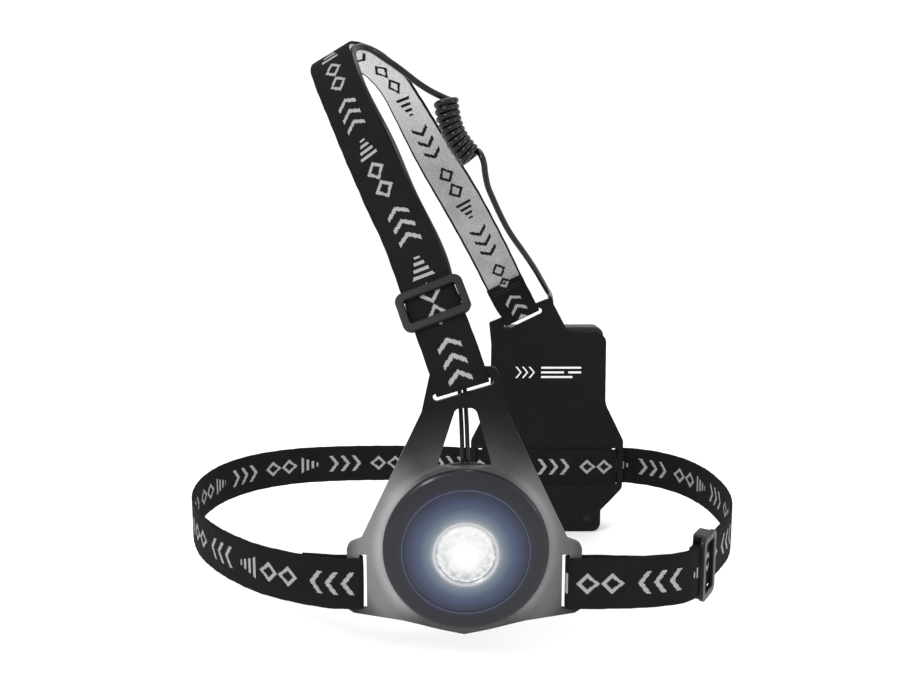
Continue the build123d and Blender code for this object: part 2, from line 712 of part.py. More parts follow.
def contact_plates():
    plates = []
    for k in range(3):
        z = CELL_Z + CELL_LONG / 2 + 1.3
        plates.append(block((cell_x(k) - 4.5, CELL_Y - 5, z), (cell_x(k) + 4.5, CELL_Y + 2.5, z + 0.5)))
    return Compound(children=plates)


def driver_board():
    return block((PACK_X - 26, 109.0, 26.0), (PACK_X + 26, 110.6, 84.0))


def tact_switch():
    body = block((PACK_X - 3.1, 110.6, BUTTON_Z - 3.1), (PACK_X + 3.1, 114.2, BUTTON_Z + 3.1))
    return body + rod(PACK_X, BUTTON_Z, 1.7, 114.0, 115.1)


def inductor_and_capacitors():
    """Tall parts on the driver board."""
    coil = rod(PACK_X - 15, 42.0, 5.0, 110.6, 115.4)
    can = rod(PACK_X + 14, 40.0, 3.2, 110.6, 116.8)
    return Compound(children=[coil, can, rod(PACK_X + 14, 50.0, 3.2, 110.6, 116.8)])


def pack_screws():
    screws = []
    for side in (-1, 1):
        x = PACK_X + side * SCREW_X
        head = rod(x, SCREW_Z, 2.5, PACK_FRONT + 0.1, PACK_FRONT + 1.3)
        shank = rod(x, SCREW_Z, 1.2, PACK_FRONT + 1.0, PACK_BACK + 9)
        cross = block((x - 1.4, PACK_FRONT, SCREW_Z - 0.3), (x + 1.4, PACK_FRONT + 0.7, SCREW_Z + 0.3))
        cross += block((x - 0.3, PACK_FRONT, SCREW_Z - 1.4), (x + 0.3, PACK_FRONT + 0.7, SCREW_Z + 1.4))
        screws.append(head + shank - cross)
    return Compound(children=screws)


# ---- everything ----
save(front_frame(), "front_frame")
save(lamp_bezel(), "lamp_bezel")
save(lens_window(), "lens_window")
save(window_gasket(), "window_gasket")
save(reflector_dish(), "reflector_dish")
save(lens_ring(), "lens_ring")
save(tir_lens(), "tir_lens")
save(led_emitter(), "led_emitter")
save(led_board(), "led_board")
save(heat_sink(), "heat_sink")
save(lamp_housing(), "lamp_housing")
save(housing_seal(), "housing_seal")
save(lamp_screws(), "lamp_screws")
save(lead_glands(), "lead_glands")

for side_name, gland_x in zip(("left", "right"), GLANDS_X):
    lead = cord_tube(f"lamp_lead_{side_name}", LEAD_ROUTE, LEAD_R)
    save(Pos(gland_x, 0, 0) * lead, f"lamp_lead_{side_name}")
save(cord_splitter(), "cord_splitter")
save(cord_tube("cord_front", FRONT_ROUTE, CORD_R), "cord_front")
save(cord_coil(), "cord_coil")
save(cord_tube("cord_rear", REAR_ROUTE, CORD_R), "cord_rear")
save(pack_gland(), "pack_gland")

save(shoulder_strap(), "shoulder_strap")
save(strap_return(), "strap_return")
save(strap_end_fold(), "strap_end_fold")
save(chest_band_left(), "chest_band_left")
save(chest_band_pack(), "chest_band_pack")
save(chest_band_right(), "chest_band_right")
save(band_return_left(), "band_return_left")
save(band_return_right(), "band_return_right")

STRAP_SEAT = STRAP_PLANE.location * Pos(0, STRAP_SLIDER_AT, 0)
BAND_SEAT = BAND_PLANE.location * Pos(0, BAND_SLIDER_AT, 0)
save(STRAP_SEAT * slider(), "shoulder_slider")
save(STRAP_SEAT * slider_loop(), "strap_loop")
save(BAND_SEAT * slider(), "band_slider")
save(BAND_SEAT * slider_loop(), "band_loop")
print("strap slide axis", STRAP_PLANE.y_dir, "band slide axis", BAND_PLANE.y_dir)

save(pack_plate(), "pack_plate")
save(pack_housing(), "pack_housing")
save(pack_seal(), "pack_seal")
save(battery_door(), "battery_door")
save(power_button(), "power_button")
save(cell_holder(), "cell_holder")
for number in range(3):
    save(cell(number), f"cell_{number + 1}")
save(contact_springs(), "contact_springs")
save(contact_plates(), "contact_plates")
save(driver_board(), "driver_board")
save(tact_switch(), "tact_switch")
save(inductor_and_capacitors(), "board_components")
save(pack_screws(), "pack_screws")
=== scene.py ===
from math import ceil, cos, pi, radians, sin, tan

import bpy
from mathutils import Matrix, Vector


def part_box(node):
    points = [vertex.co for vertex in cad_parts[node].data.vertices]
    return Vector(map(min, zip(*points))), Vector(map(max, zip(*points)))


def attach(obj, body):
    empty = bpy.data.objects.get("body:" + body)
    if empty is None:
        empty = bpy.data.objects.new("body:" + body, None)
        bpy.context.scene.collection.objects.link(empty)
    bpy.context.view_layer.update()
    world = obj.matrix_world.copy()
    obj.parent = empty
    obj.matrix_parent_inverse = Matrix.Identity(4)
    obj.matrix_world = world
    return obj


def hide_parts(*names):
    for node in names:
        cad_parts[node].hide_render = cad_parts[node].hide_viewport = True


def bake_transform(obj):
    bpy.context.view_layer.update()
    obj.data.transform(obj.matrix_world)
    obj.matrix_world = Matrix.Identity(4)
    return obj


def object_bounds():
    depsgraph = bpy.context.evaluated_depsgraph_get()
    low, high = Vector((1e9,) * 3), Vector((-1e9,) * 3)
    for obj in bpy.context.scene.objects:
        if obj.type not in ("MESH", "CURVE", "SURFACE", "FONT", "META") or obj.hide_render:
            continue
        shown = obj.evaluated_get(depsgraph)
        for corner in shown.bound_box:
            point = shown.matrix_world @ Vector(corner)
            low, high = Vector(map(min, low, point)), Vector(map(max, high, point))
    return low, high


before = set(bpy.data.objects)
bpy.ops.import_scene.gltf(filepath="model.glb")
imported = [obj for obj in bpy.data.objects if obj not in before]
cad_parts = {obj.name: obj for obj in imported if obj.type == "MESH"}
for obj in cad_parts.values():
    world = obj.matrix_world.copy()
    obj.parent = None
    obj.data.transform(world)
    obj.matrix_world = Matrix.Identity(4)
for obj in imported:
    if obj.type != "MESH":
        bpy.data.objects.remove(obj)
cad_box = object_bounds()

MM = 0.001
WEB = 25 * MM  # width of the webbing
WEB_THICK = 1.3 * MM
CAMERA_PLACE = (-0.002, -0.5225, 0.1786)
CAMERA_DIPS = 8.78  # degrees below level
CAMERA_LENS, CAMERA_SENSOR = 35.7, 36.0  # millimetres


# ---------------------------------------------------------------- camera
def middle(node):
    low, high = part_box(node)
    return (Vector(low) + Vector(high)) / 2


def make_camera():
    """Stands 0.52 m in front of the middle and 0.18 m above the lamp, looking slightly down."""
    camera = bpy.data.objects.new("camera", bpy.data.cameras.new("camera"))
    camera.data.sensor_width = CAMERA_SENSOR
    camera.data.lens = CAMERA_LENS
    camera.location = CAMERA_PLACE
    camera.rotation_euler = (radians(90 - CAMERA_DIPS), 0, 0)
    bpy.context.collection.objects.link(camera)
    bpy.context.scene.camera = camera


make_camera()


# ---------------------------------------------------------------- node helper
class Shader:
    """Builds one material from short calls."""

    def __init__(self, name):
        self.material = bpy.data.materials.new(name)
        self.material.use_nodes = True
        self.tree = self.material.node_tree
        self.tree.nodes.clear()
        self.surface = self.node("ShaderNodeBsdfPrincipled")
        output = self.node("ShaderNodeOutputMaterial")
        self.tree.links.new(self.surface.outputs[0], output.inputs[0])
        self.place = self.node("ShaderNodeTexCoord").outputs["Object"]

    def node(self, kind, **settings):
        made = self.tree.nodes.new(kind)
        for key, value in settings.items():
            setattr(made, key, value)
        return made

    def feed(self, socket, value):
        if isinstance(value, bpy.types.NodeSocket):
            self.tree.links.new(value, socket)
        else:
            socket.default_value = value

    def set(self, **values):
        """Principled inputs, with _ for a space in their names."""
        for key, value in values.items():
            self.feed(self.surface.inputs[key.replace("_", " ")], value)

    def math(self, operation, *values):
        made = self.node("ShaderNodeMath", operation=operation)
        for socket, value in zip(made.inputs, values):
            self.feed(socket, value)
        return made.outputs[0]

    def add(self, *values):
        total = values[0]
        for value in values[1:]:
            total = self.math("ADD", total, value)
        return total

    def product(self, *values):
        total = values[0]
        for value in values[1:]:
            total = self.math("MULTIPLY", total, value)
        return total

    def clamped(self, value, low, high):
        return self.math("MINIMUM", self.math("MAXIMUM", value, low), high)

    def within(self, value, low, high):
        return self.product(self.math("GREATER_THAN", value, low), self.math("LESS_THAN", value, high))

    def noise(self, scale, detail=3.0):
        """Grey noise; scale is in bumps per metre."""
        made = self.node("ShaderNodeTexNoise")
        self.feed(made.inputs["Vector"], self.place)
        self.feed(made.inputs["Scale"], scale)
        self.feed(made.inputs["Detail"], detail)
        return made.outputs[0]

    def ramp(self, value, stops, smooth=False):
        made = self.node("ShaderNodeValToRGB")
        self.feed(made.inputs[0], value)
        made.color_ramp.interpolation = "EASE" if smooth else "LINEAR"
        elements = made.color_ramp.elements
        while len(elements) < len(stops):
            elements.new(0.5)
        for element, (at, colour) in zip(elements, stops):
            element.position = at
            element.color = (*colour, 1)
        return made.outputs[0]

    def mix(self, factor, a, b):
        made = self.node("ShaderNodeMix", data_type="RGBA")
        self.feed(made.inputs[0], factor)
        self.feed(made.inputs[6], (*a, 1) if isinstance(a, tuple) else a)
        self.feed(made.inputs[7], (*b, 1) if isinstance(b, tuple) else b)
        return made.outputs[2]

    def bump(self, height, strength, distance):
        made = self.node("ShaderNodeBump")
        self.feed(made.inputs["Height"], height)
        self.feed(made.inputs["Strength"], strength)
        self.feed(made.inputs["Distance"], distance)
        self.feed(self.surface.inputs["Normal"], made.outputs[0])

    def axis(self, which, place=None):
        made = self.node("ShaderNodeSeparateXYZ")
        self.feed(made.inputs[0], place or self.place)
        return made.outputs[which]


# ---------------------------------------------------------------- materials
def scaled(colour, factor):
    """A colour made lighter or darker, never past white."""
    return tuple(min(1.0, c * factor) for c in colour)


def greys(*stops):
    """A ramp's stops from (position, grey) pairs."""
    return [(at, (value, value, value)) for at, value in stops]


def moulded(name, colour, roughness=0.45, specular=0.15):
    """Moulded plastic: fine spark grain, slight colour drift, and soft scuffs in its gloss."""
    s = Shader(name)
    drift = s.noise(60.0, 4.0)
    s.set(Base_Color=s.mix(drift, colour, scaled(colour, 1.35)))
    scuffs = s.ramp(s.noise(220.0, 6.0), [(0.45, (0, 0, 0)), (0.75, (1, 1, 1))])
    s.set(Roughness=s.math("MULTIPLY_ADD", scuffs, 0.12, roughness), Specular_IOR_Level=specular)
    s.bump(s.noise(2600.0, 2.0), 0.3, 0.06 * MM)
    return s.material


LENS_RADIUS = 14 * MM
GLOW_RADIUS = 40 * MM  # the lamp's light fades out over this distance


def from_lamp(s):
    """Distance from the lamp's middle in the frame's plane, and how far it is to the side, 0 to 1."""
    x = s.math("SUBTRACT", s.axis(0), middle("lens_window").x)
    z = s.math("SUBTRACT", s.axis(2), middle("lens_window").z)
    far = s.math("SQRT", s.add(s.product(x, x), s.product(z, z)))
    return far, s.math("DIVIDE", s.math("ABSOLUTE", x), s.math("MAXIMUM", far, 1 * MM))


def frame_painted_light():
    """Painted light: black at the top; grey at the lamp's sides as painted glow, where the moulding
    picks up the lamp's light, with painted highlights on the collar's sides; painted shade on the
    right. The ramps' positions are distances from the lamp's middle in units of 100 mm."""
    s = Shader("frame_painted_light")
    far, side = from_lamp(s)
    waver = 3 * MM  # how much a slow noise moves the ramps in and out
    cloud = s.math("MULTIPLY_ADD", s.noise(60.0, 3.0), waver, s.math("SUBTRACT", far, waver / 2))
    reach = s.product(cloud, 10.0)
    # painted highlight ring on the collar's sides, 39 to 46 mm from the lamp's middle, then painted glow
    # of the lamp fading outwards
    beside = s.ramp(reach, greys((0.376, 0.03), (0.390, 0.32), (0.425, 0.28), (0.462, 0.18),
                                 (0.51, 0.15), (0.56, 0.07), (0.62, 0.018), (0.75, 0.006)))
    # painted shade: darker towards the right
    painted_shade_right = s.clamped(s.math("MULTIPLY_ADD", s.axis(0), 5.2, 0.23), 0.0, 0.5)
    beside = s.mix(painted_shade_right, beside, (0.01, 0.01, 0.01))
    # painted glow above the lamp, fainter than at its sides
    above = s.ramp(reach, greys((0.376, 0.02), (0.40, 0.06), (0.47, 0.04), (0.54, 0.02), (0.62, 0.01),
                                (0.70, 0.004)))
    sideways = s.ramp(side, greys((0.45, 0.0), (0.85, 1.0)), smooth=True)
    s.set(Base_Color=s.mix(sideways, above, beside), Roughness=0.36, Specular_IOR_Level=0.09)
    s.bump(s.noise(2200.0, 2.0), 0.25, 0.05 * MM)
    return s.material


def lamp_glow(name, stops, strength, coat):
    """A surface lit from inside: its light depends on how far it is from the lamp's middle."""
    s = Shader(name)
    far, _ = from_lamp(s)
    streak = s.math("MULTIPLY_ADD", s.noise(160.0, 2.0), 1.2 * MM, far)
    light = s.ramp(s.math("DIVIDE", streak, GLOW_RADIUS), stops)
    s.set(Base_Color=(0.01, 0.01, 0.012, 1), Emission_Color=light, Emission_Strength=strength)
    s.set(Roughness=0.3, Coat_Weight=coat, Coat_Roughness=0.12, Specular_IOR_Level=0.15)
    return s.material


def lit_lens():
    """The LED's lens: white, with faint cells that show more towards its rim and its lower edge."""
    s = Shader("lit_lens")
    cells = s.node("ShaderNodeTexVoronoi")
    s.feed(cells.inputs["Vector"], s.place)
    s.feed(cells.inputs["Scale"], 420.0)
    far, _ = from_lamp(s)
    low = s.math("MULTIPLY_ADD", s.axis(2), -30.0, 30.0 * middle("tir_lens").z + 0.6)
    towards_rim = greys((0.40, 0.0), (0.80, 0.7), (0.92, 0.35), (0.97, 1.2))
    rim = s.ramp(s.math("DIVIDE", far, LENS_RADIUS), towards_rim)
    speckle = s.math("MULTIPLY_ADD", cells.outputs[0], 1.6, 0.1)
    light = s.mix(s.product(rim, low, speckle), (1.0, 1.0, 1.0), (0.36, 0.38, 0.40))
    s.set(Base_Color=(0.06, 0.06, 0.06, 1), Emission_Color=light, Emission_Strength=0.89, Roughness=0.15)
    s.set(Specular_IOR_Level=0.1)
    s.bump(cells.outputs[0], 0.3, 0.3 * MM)
    return s.material


def motif(s, along, across):
    """A woven geometric pattern, stepped as a jacquard loom makes it: chevrons, two lozenges and
    bars that shorten, once every repeat. Sizes are in millimetres; the result is 0 or 1."""
    stitch, repeat, half_height = 0.6, 76.0, 5.7
    chevron_pitch, chevron_slope, chevron_stroke, chevron_span = 8.0, 0.75, (1.0, 3.6), (8.0, 32.0)
    lozenges, lozenge_slope, lozenge_ring = (40.0, 52.0), 0.9, (3.0, 5.2)
    bar_pitch, bar_stroke, bar_span = 3.6, 1.7, (60.0, 73.0)
    u = s.product(s.math("FLOOR", s.math("DIVIDE", along, stitch)), stitch)
    v = s.product(s.math("FLOOR", s.math("DIVIDE", across, stitch)), stitch)
    u = s.math("FLOORED_MODULO", u, repeat)
    v = s.math("ABSOLUTE", v)
    lean = s.math("MULTIPLY_ADD", v, chevron_slope, u)
    stroke = s.within(s.math("FLOORED_MODULO", lean, chevron_pitch), *chevron_stroke)
    shapes = s.product(stroke, s.within(lean, *chevron_span))
    for centre in lozenges:
        off = s.math("ABSOLUTE", s.math("SUBTRACT", u, centre))
        ring = s.within(s.math("MULTIPLY_ADD", off, lozenge_slope, v), *lozenge_ring)
        shapes = s.math("MAXIMUM", shapes, ring)
    stroke = s.within(s.math("FLOORED_MODULO", u, bar_pitch), 0.0, bar_stroke)
    bar_height = s.math("SUBTRACT", 27.5, s.product(u, 0.36))
    bars = s.product(stroke, s.within(u, *bar_span), s.math("LESS_THAN", v, bar_height))
    shapes = s.math("MAXIMUM", shapes, bars)
    return s.product(shapes, s.math("LESS_THAN", v, half_height))


def webbing(name, ground, figure, edge=None, paler_above=None):
    """Elastic webbing: cross ribs and rows of stitches, with the woven motif along its middle.
    An edge colour gives it dark selvedges, and above a height in metres it can turn paler."""
    s = Shader(name)
    rib_pitch, row_pitch, selvedge_from = 1.1, 0.9, 11.5  # millimetres
    web = s.node("ShaderNodeUVMap", uv_map="web").outputs[0]
    along = s.product(s.axis(0, web), 1000.0)
    across = s.product(s.axis(1, web), 1000.0)
    mark = motif(s, along, across)
    fuzz = s.noise(1500.0, 2.0)
    fade = s.noise(70.0, 3.0)
    thread = s.math("MULTIPLY_ADD", fuzz, 0.7, s.product(fade, 0.6))
    cloth = s.mix(thread, scaled(ground, 0.45), scaled(ground, 1.5))
    if paler_above:
        high = s.product(s.math("SUBTRACT", s.axis(2), paler_above), 16.0)
        cloth = s.mix(s.clamped(high, 0.0, 0.85), cloth, (0.64, 0.65, 0.66))
    if edge:
        border = s.math("GREATER_THAN", s.math("ABSOLUTE", across), selvedge_from)
        cloth = s.mix(border, cloth, edge)
    yarn = s.mix(fuzz, scaled(figure, 0.5), scaled(figure, 1.25))
    s.set(Base_Color=s.mix(mark, cloth, yarn), Roughness=0.85, Specular_IOR_Level=0.03)
    s.set(Sheen_Weight=0.012, Sheen_Roughness=0.5)
    rib = s.math("SINE", s.product(along, 2 * pi / rib_pitch))
    row = s.math("SINE", s.product(across, 2 * pi / row_pitch))
    weave = s.add(s.product(rib, 0.3), s.product(row, 0.25), s.product(mark, 0.5), s.product(fuzz, 0.4))
    s.bump(weave, 0.7, 0.22 * MM)
    return s.material


def rubber(name, colour, roughness=0.5, specular=0.2):
    """Rubber or cord jacket: a slow colour drift and a gloss that varies a little."""
    s = Shader(name)
    s.set(Base_Color=s.mix(s.noise(90.0), colour, scaled(colour, 1.6)))
    s.set(Roughness=s.math("MULTIPLY_ADD", s.noise(300.0, 4.0), 0.2, roughness - 0.1))
    s.set(Specular_IOR_Level=specular)
    s.bump(s.noise(1200.0, 3.0), 0.2, 0.08 * MM)
    return s.material


def metal(name, colour, roughness=0.3):
    """Bare metal with fine changes of tone and gloss."""
    s = Shader(name)
    s.set(Base_Color=s.mix(s.noise(400.0, 5.0), colour, scaled(colour, 0.8)))
    s.set(Metallic=1.0, Roughness=s.math("MULTIPLY_ADD", s.noise(900.0, 4.0), 0.15, roughness))
    return s.material


BLACK = (0.0055, 0.0055, 0.006)
WEB_BLACK = webbing("web_black", (0.0075, 0.0075, 0.0075), (0.31, 0.31, 0.31))
WEB_GREY = webbing("web_grey", (0.27, 0.27, 0.275), (0.012, 0.012, 0.013), edge=(0.012, 0.012, 0.012),
                   paler_above=0.205)
PACK_PLASTIC = moulded("pack_plastic", BLACK, roughness=0.42, specular=0.08)
# lighter than the pack's plastic: painted highlight for the housing's lit top facet
HOUSING_LIT_PLASTIC = moulded("housing_lit_plastic", (0.016, 0.016, 0.017), roughness=0.4, specular=0.1)
# paler, glossier materials for bevelled edges: painted highlights along the edges
FRAME_EDGE_HIGHLIGHT = moulded("frame_edge_painted_highlight", (0.035, 0.035, 0.036), roughness=0.3, specular=0.35)
PACK_EDGE_HIGHLIGHT = moulded("pack_edge_painted_highlight", (0.010, 0.010, 0.011), roughness=0.35, specular=0.2)
SLIDER_PLASTIC = moulded("slider_plastic", (0.009, 0.009, 0.010), roughness=0.33, specular=0.14)
CORD_PVC = rubber("cord_pvc", (0.005, 0.005, 0.0055), roughness=0.22, specular=0.25)
SOFT_RUBBER = rubber("soft_rubber", (0.012, 0.012, 0.012), roughness=0.6)
STEEL = metal("steel", (0.55, 0.55, 0.57))
DARK_STEEL = metal("dark_steel", (0.03, 0.03, 0.03), 0.4)
BRASS = metal("brass", (0.75, 0.55, 0.25))
BOARD = moulded("board", (0.02, 0.14, 0.06), roughness=0.35)
PRINT = moulded("pack_print", (0.62, 0.62, 0.63), roughness=0.5)
THREAD = moulded("thread", (0.035, 0.035, 0.035), roughness=0.8)


def paint(node, material):
    """Gives a CAD node its material."""
    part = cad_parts[node]
    part.data.materials.clear()
    part.data.materials.append(material)


def soften(node, highlight_material, width=0.25 * MM):
    """Breaks a CAD node's sharp edges and gives them a paler, glossier material as a painted highlight
    along the edges.
    """
    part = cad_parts[node]
    part.data.materials.append(highlight_material)
    edge = part.modifiers.new("edge", "BEVEL")
    edge.width = width
    edge.segments = 2
    edge.material = 1
    edge.limit_method = "ANGLE"
    edge.angle_limit = radians(35)
    edge.harden_normals = False


# ---------------------------------------------------------------- making pieces
def link(name, data, material=None):
    piece = bpy.data.objects.new(name, data)
    bpy.context.collection.objects.link(piece)
    if material:
        data.materials.append(material)
    return piece


def mesh_piece(name, verts, faces, material=None, smooth=False):
    """A piece made from points and faces."""
    mesh = bpy.data.meshes.new(name)
    mesh.from_pydata(verts, [], faces)
    for face in mesh.polygons:
        face.use_smooth = smooth
    return link(name, mesh, material)


def ring_walls(rings, sides, base=0):
    """The four-sided faces between rings of points that follow each other."""
    faces = []
    for k in range(rings - 1):
        for j in range(sides):
            j2 = (j + 1) % sides
            row = base + k * sides
            faces.append((row + j, row + j2, row + sides + j2, row + sides + j))
    return faces


def end_caps(rings, sides, base=0):
    """The two faces that close a row of rings."""
    last = base + (rings - 1) * sides
    return [tuple(range(base + sides - 1, base - 1, -1)), tuple(range(last, last + sides))]


def direction_at(line, k):
    """The way a line runs at its point k, from the points beside it."""
    return (line[min(k + 1, len(line) - 1)] - line[max(k - 1, 0)]).normalized()


def web_line(points):
    """A webbing's route in millimetres as closely spaced points in metres: runs joined by arcs."""
    bend_share, step_angle = 0.45, radians(3)
    corners = [Vector(p) * MM for p in points]
    line = [corners[0]]
    for before, corner, after in zip(corners, corners[1:], corners[2:]):
        come, go = corner - before, after - corner
        turn = come.angle(go)
        reach = bend_share * min(come.length, go.length)
        come.normalize()
        go.normalize()
        start, end = corner - come * reach, corner + go * reach
        centre = corner + (go - come).normalized() * (reach / sin(turn / 2))
        steps = max(2, ceil(turn / step_angle))
        for k in range(steps + 1):
            share = k / steps
            arm = (start - centre) * sin((1 - share) * turn) + (end - centre) * sin(share * turn)
            line.append(centre + arm / sin(turn))
    line.append(corners[-1])
    return line


def line_length(line):
    return sum((b - a).length for a, b in zip(line, line[1:]))


def spaced(line, step):
    """The same line with its points about one step apart."""
    lengths = [0.0]
    for a, b in zip(line, line[1:]):
        lengths.append(lengths[-1] + (b - a).length)
    count = ceil(lengths[-1] / step)
    out, k = [], 0
    for n in range(count + 1):
        at = lengths[-1] * n / count
        while k < len(line) - 2 and lengths[k + 1] < at:
            k += 1
        span = lengths[k + 1] - lengths[k]
        out.append(line[k].lerp(line[k + 1], (at - lengths[k]) / span if span else 0.0))
    return out


def between(knots, share):
    """The value at a share of the way, in a straight line between (share, value) pairs."""
    for (start, low), (end, high) in zip(knots, knots[1:]):
        if share <= end:
            return low + (high - low) * (share - start) / (end - start)
    return knots[-1][1]


def on_edge(length):
    """The width's direction for webbing that stands upright all along."""
    return Vector((0, 0, 1))


def leaning(start, end, total, yaws=((0, 0), (1, 0))):
    """The width's direction: its angle above x goes from start to end over the total length, and
    it turns about z by the yaws."""
    def across(length):
        share = min(1.0, length / total)
        tilt = radians(start + (end - start) * share)
        yaw = radians(between(yaws, share))
        return Vector((cos(tilt) * cos(yaw), sin(yaw), sin(tilt)))
    return across


def sections(line, width_way):
    """Along a line: the length so far, the point, and the ways across and out of the webbing."""
    out = []
    length = 0.0
    for k, point in enumerate(line):
        along = direction_at(line, k)
        if k:
            length += (point - line[k - 1]).length
        across = width_way(length)
        across = (across - along * across.dot(along)).normalized()
        out.append((length, point, across, along.cross(across)))
    return out


SIDE_POINTS = 13


def ribbon(name, cuts, outer, inner):
    """Webbing through these sections. Its faces crown slightly, its selvedges are rounder and
    ripple, and the outer material is on the side away from the wearer."""
    half, thick = WEB / 2, WEB_THICK / 2
    crown, ripple_high = 0.08 * MM, 0.07 * MM
    side = [(-half + WEB * k / (SIDE_POINTS - 1), thick) for k in range(SIDE_POINTS)]
    rim_x, rim_y = half + 0.35 * MM, thick * 0.35
    rim = [(rim_x, rim_y), (rim_x, -rim_y)]
    profile = side + rim + [(-a, -b) for a, b in side] + [(-a, -b) for a, b in rim]
    verts, uvs = [], []
    for length, point, across, out in cuts:
        for a, b in profile:
            edge = min(1.0, abs(a) / half)
            ripple = ripple_high * sin(length * 900 + a * 260) * edge
            bow = crown * (1 - edge**2) * (1 if b > 0 else -1)
            swell = ripple_high * sin(length * 5700) * max(0.0, edge - 0.9) * 10
            verts.append(point + across * (a + (swell if a > 0 else -swell)) + out * (b + bow + ripple))
            uvs.append((length, a))
    ring = len(profile)
    walls = ring_walls(len(cuts), ring)
    piece = mesh_piece(name, verts, walls + end_caps(len(cuts), ring), outer, smooth=True)
    mesh = piece.data
    mesh.materials.append(inner)
    layer = mesh.uv_layers.new(name="web")
    for loop in mesh.loops:
        layer.data[loop.index].uv = uvs[loop.vertex_index]
    for face in mesh.polygons:
        if face.index < len(walls) and face.index % ring < SIDE_POINTS - 1:
            face.material_index = 1
    mesh.update()
    return piece


def tube_mesh(lines, radius, sides=6):
    """The points and faces of thin tubes along short lines."""
    verts, faces = [], []
    for line in lines:
        base = len(verts)
        for k, point in enumerate(line):
            along = direction_at(line, k)
            first = along.orthogonal().normalized()
            second = along.cross(first)
            for j in range(sides):
                angle = 2 * pi * j / sides
                verts.append(point + (first * cos(angle) + second * sin(angle)) * radius)
        faces += ring_walls(len(line), sides, base) + end_caps(len(line), sides, base)
    return verts, faces


def sew(name, cuts, lengths, outward, body="harness"):
    """Rows of stitches across the webbing at these lengths, on the side that outward says."""
    lines = []
    pitch, reach, rise, sunk, slant = 2.3 * MM, 1.8 * MM, 0.28 * MM, 0.05 * MM, 0.35 * MM
    thread_radius = 0.22 * MM
    for at in lengths:
        _, point, across, out = min(cuts, key=lambda cut: abs(cut[0] - at))
        out = out * outward
        along = across.cross(out)
        for k in range(-4, 5):
            centre = point + across * (k * pitch) + out * (WEB_THICK / 2)
            lean = along * (slant * (-1) ** k)
            line = []
            for n in range(5):
                t = n / 4 - 0.5
                high = rise * (1 - 4 * t * t) - sunk
                line.append(centre + (across * reach + lean) * t + out * high)
            lines.append(line)
    verts, faces = tube_mesh(lines, thread_radius)
    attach(mesh_piece(name, verts, faces, THREAD, smooth=True), body)


def curve_piece(name, points, radius, material):
    """A cord: one NURBS spline with these control points, in metres."""
    curve = bpy.data.curves.new(name, "CURVE")
    curve.dimensions = "3D"
    spline = curve.splines.new("NURBS")
    spline.points.add(len(points) - 1)
    for point, place in zip(spline.points, points):
        point.co = (*place, 1)
    spline.order_u = 3
    spline.use_endpoint_u = True
    curve.resolution_u = 10
    curve.bevel_depth = radius
    curve.bevel_resolution = 5
    curve.use_fill_caps = True
    return link(name, curve, material)


BOOT_FOOT = (66.5 * MM, 109.5 * MM, 96.9 * MM)


def pack_boot():
    """Ribbed strain relief, tapered, standing round the cord where it leaves the pack. Its outline
    is radius and height in millimetres."""
    x, y, foot = BOOT_FOOT
    ribs, sides = 4, 32
    outline = [(3.6, 0.0), (3.6, 1.4), (3.1, 1.8)]
    for k in range(ribs):
        wide, at = 3.0 - 0.2 * k, 2.4 + 1.9 * k
        outline += [(wide, at), (wide, at + 1.1), (wide - 0.4, at + 1.3), (wide - 0.4, at + 1.7)]
    outline += [(2.2, 10.4), (1.9, 10.6)]
    verts = []
    for radius, high in outline:
        for j in range(sides):
            angle = 2 * pi * j / sides
            verts.append((x + radius * MM * cos(angle), y + radius * MM * sin(angle), foot + high * MM))
    faces = end_caps(len(outline), sides) + ring_walls(len(outline), sides)
    boot = mesh_piece("pack_boot", verts, faces, SOFT_RUBBER)
    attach(boot, "harness")
    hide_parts("pack_gland")
    return boot


# ---------------------------------------------------------------- cord and leads, in metres
GLAND_Y, GLAND_TOP = -0.1026, 0.0585
LEAD_ROUTE = [
    (0.0, GLAND_Y, GLAND_TOP),
    (-0.0003, -0.1016, 0.0700),
    (-0.0008, -0.0983, 0.0820),
    (-0.0015, -0.0940, 0.0930),
]
SPLITTER_FOOT = Vector((0.0019, -0.0940, 0.0930))
SPLITTER_AXIS = Vector((-0.06, 0.36, 0.93)).normalized()
SPLITTER_HEAD = SPLITTER_FOOT + SPLITTER_AXIS * 0.011
FRONT_ROUTE = [
    tuple(SPLITTER_HEAD),
    (-0.0004, -0.0850, 0.1180),
    (-0.0024, -0.0798, 0.1340),
    (-0.0050, -0.0740, 0.1495),
    (-0.0102, -0.0688, 0.1625),
    (-0.0166, -0.0628, 0.1746),
    (-0.0222, -0.0576, 0.1850),
    (-0.0266, -0.0520, 0.1946),
    (-0.0308, -0.0446, 0.2044),
    (-0.0354, -0.0366, 0.2144),
    (-0.0408, -0.0290, 0.2244),
    (-0.0465, -0.0245, 0.2345),
    (-0.0515, -0.0205, 0.2445),
    (-0.0550, -0.0140, 0.2540),
    (-0.0580, -0.0060, 0.2620),
    (-0.0585, 0.0015, 0.2670),
    (-0.0555, 0.0090, 0.2700),
    (-0.0495, 0.0155, 0.2695),
    (-0.0425, 0.0195, 0.2650),
    (-0.0367, 0.0220, 0.2616),
    (-0.0302, 0.0236, 0.2570),
    (-0.0238, 0.0252, 0.2522),
    (-0.0176, 0.0270, 0.2484),
    (-0.0122, 0.0288, 0.2458),
]
COIL_HEAD = Vector((-0.0067, 0.0240, 0.2425))
COIL_BEND = Vector((-0.0056, 0.0240, 0.2220))
COIL_FOOT = Vector((0.0086, 0.0250, 0.2086))
COIL_TURNS = 10.25
COIL_PER_TURN = 14
COIL_RADIUS = 0.00565
